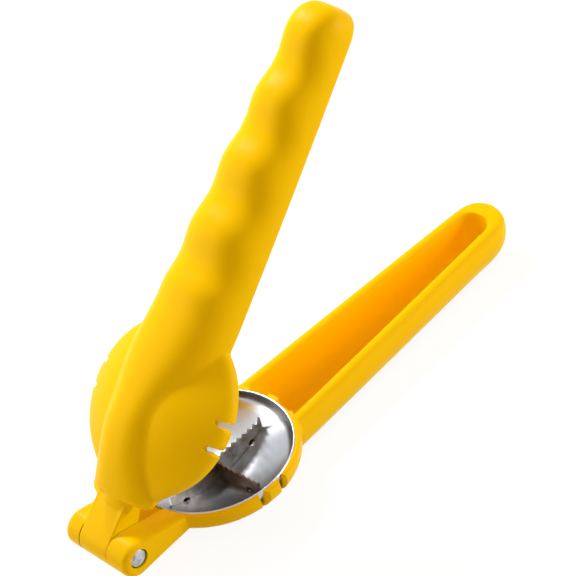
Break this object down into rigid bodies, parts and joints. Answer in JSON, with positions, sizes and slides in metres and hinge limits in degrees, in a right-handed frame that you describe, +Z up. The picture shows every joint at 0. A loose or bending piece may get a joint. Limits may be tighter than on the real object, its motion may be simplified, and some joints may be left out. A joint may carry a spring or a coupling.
{
  "type": "chestnut cutter",
  "caption": "Hinged hand tool whose domed upper jaw presses a chestnut onto crossed saw-toothed blades in a steel dish, scoring its shell.",
  "frame": {"origin": "centre of the bounding box in plan, on the floor that the lower handle lies on", "axes": "+Z up, +X from the hinge to the handles' ends, +Y along the hinge pin"},
  "size_m": [0.1816, 0.0564, 0.1326],
  "materials": {
    "lower_body": "smooth moulded, satin gloss",
    "upper_body": "smooth moulded, satin gloss",
    "hinge_pin": "turned end, dull",
    "steel_dish": "polished stainless sheet",
    "blades": "stamped stainless sheet"
  },
  "bodies": {
    "lower_half": {"lower_jaw_and_handle": "lower_body", "steel_dish": "steel_dish", "lengthwise_blade": "blades", "crosswise_blade": "blades", "hinge_pin": "hinge_pin"},
    "upper_half": {"upper_jaw_and_finger_handle": "upper_body"}
  },
  "joints": [
    {"name": "jaw_hinge", "type": "hinge", "parent": "lower_half", "child": "upper_half", "pos_m": [-0.08562, 0, 0.0156], "axis": [0, 1, 0], "range_deg": [-26, 38.4]}
  ]
}
